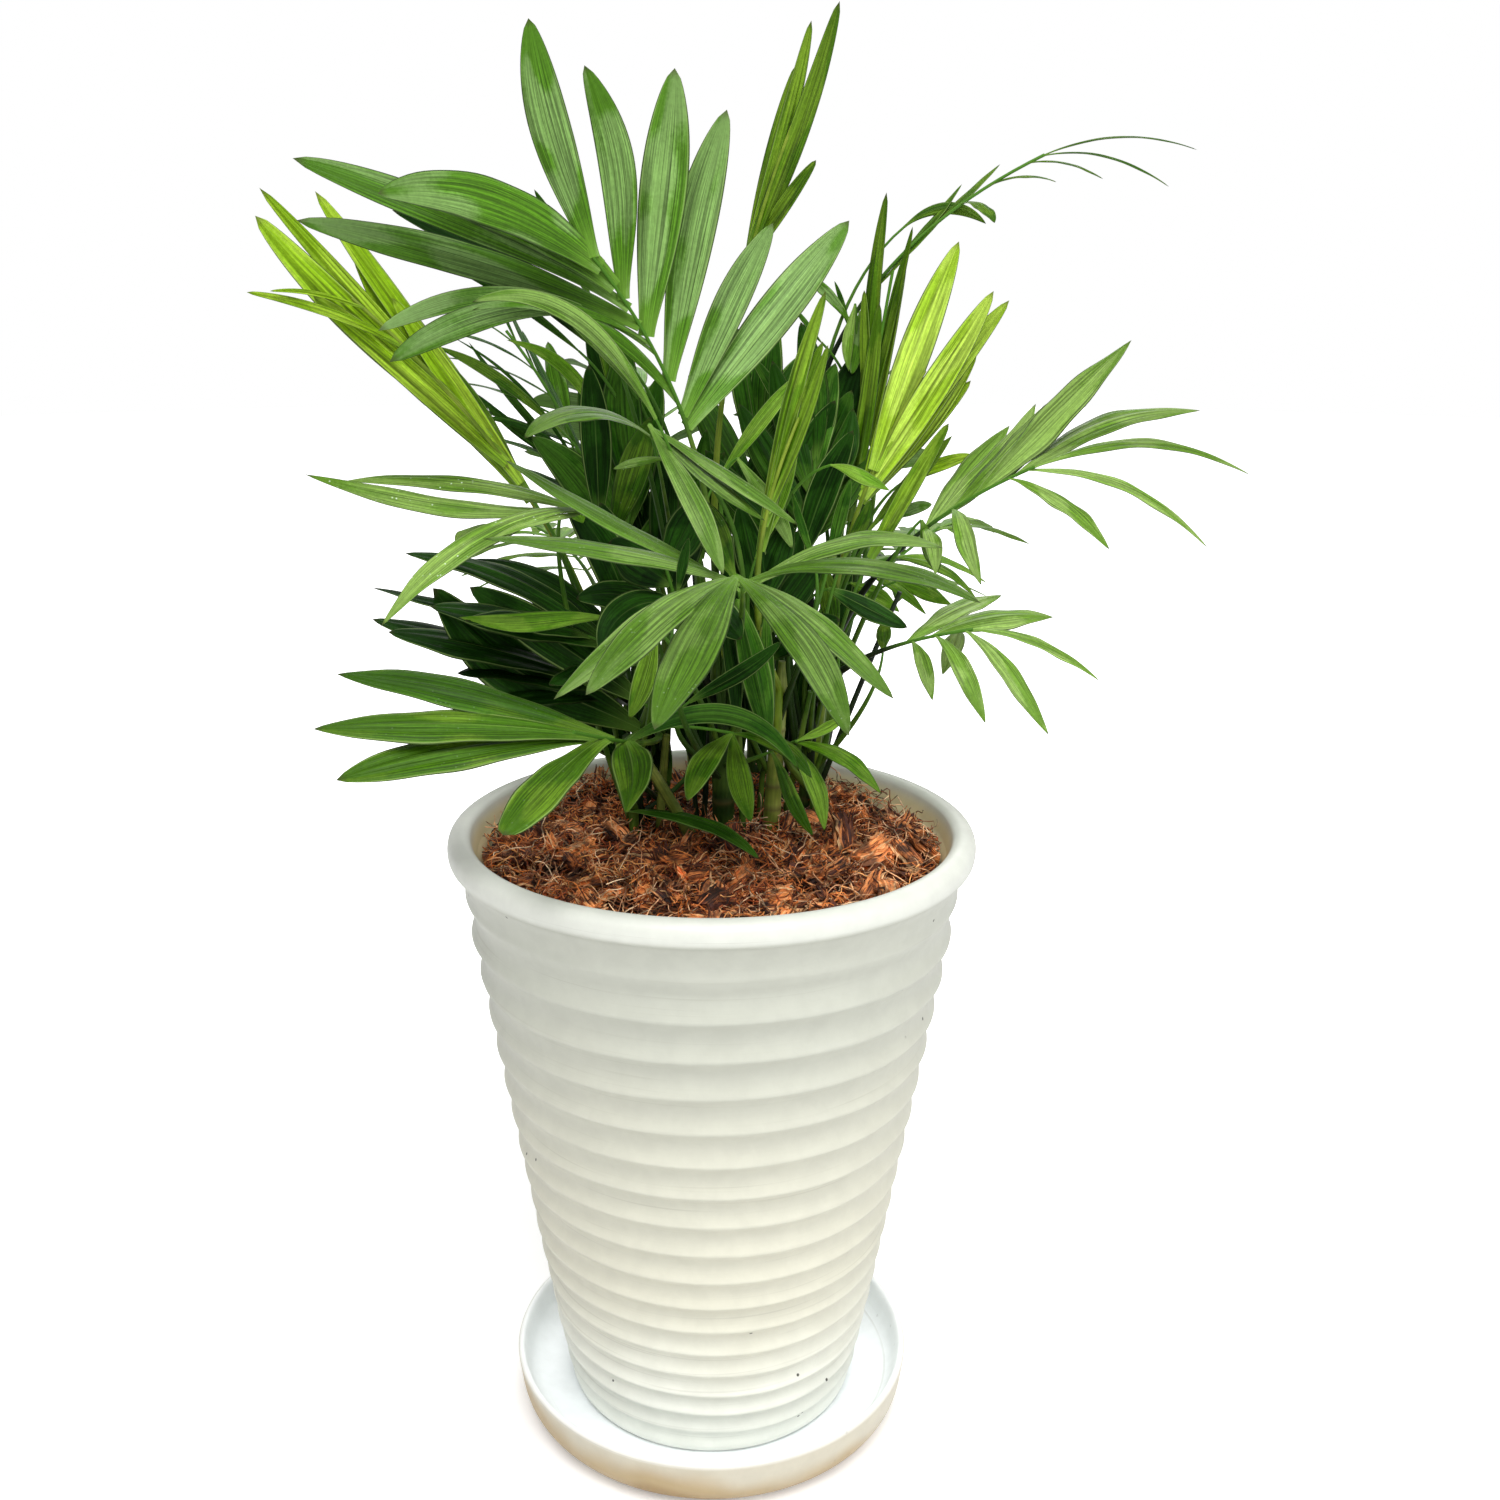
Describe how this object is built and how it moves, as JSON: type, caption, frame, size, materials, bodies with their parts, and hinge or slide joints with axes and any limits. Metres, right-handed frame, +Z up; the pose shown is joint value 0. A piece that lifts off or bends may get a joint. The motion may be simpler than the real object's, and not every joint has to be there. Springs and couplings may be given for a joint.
{
  "type": "potted parlor palm",
  "caption": "Young parlor palm with arching feather-shaped fronds, in a tall ribbed cream-glazed pot on a round saucer, its soil covered with coconut husk.",
  "frame": {"origin": "middle of the saucer's flat underside, where the part stands", "axes": "+Z up along the pot's axis, +X towards the right of the front view, +Y away from the front"},
  "size_m": [0.265, 0.2937, 0.4091],
  "materials": {
    "saucer_glaze": "satin glaze, white inside and warm cream outside",
    "pot_glaze": "satin glaze, greenish cream, with a few tiny pits",
    "potting_mix": "dark crumbly mix",
    "husk": "fibrous rust-brown husk chips and fibres",
    "cane": "smooth green cane with ringed joints",
    "leaf": "thin ribbed leaf, soft sheen"
  },
  "bodies": {
    "root": {"saucer": "saucer_glaze", "pot": "pot_glaze", "potting_mix": "potting_mix", "husk": "husk", "cane_a": "cane", "cane_b": "cane", "cane_c": "cane", "cane_d": "cane", "cane_e": "cane", "cane_f": "cane", "cane_g": "cane", "cane_h": "cane", "cane_i": "cane", "cane_j": "cane", "frond_top": "leaf", "frond_front_centre": "leaf", "frond_front_upper": "leaf", "frond_low_left": "leaf", "frond_low_right": "leaf", "frond_low_far_right": "leaf", "frond_left_mid": "leaf", "frond_left_dark": "leaf", "frond_low_dark": "leaf", "frond_left_spear": "leaf", "frond_right_low": "leaf", "frond_right_mid": "leaf", "frond_top_right_arch": "leaf", "frond_top_spear": "leaf", "frond_right_spear": "leaf", "frond_right_upright": "leaf", "frond_centre_spear": "leaf", "frond_left_back": "leaf", "frond_right_behind": "leaf", "frond_inner_broad": "leaf", "frond_inner_dark": "leaf", "frond_centre_low": "leaf", "frond_centre_up": "leaf", "frond_centre_dark": "leaf", "frond_back_right": "leaf", "frond_back_middle": "leaf", "frond_back_left": "leaf", "frond_back_high_left": "leaf", "frond_back_high_right": "leaf", "frond_leaf_on_husk": "leaf"}
  },
  "joints": []
}
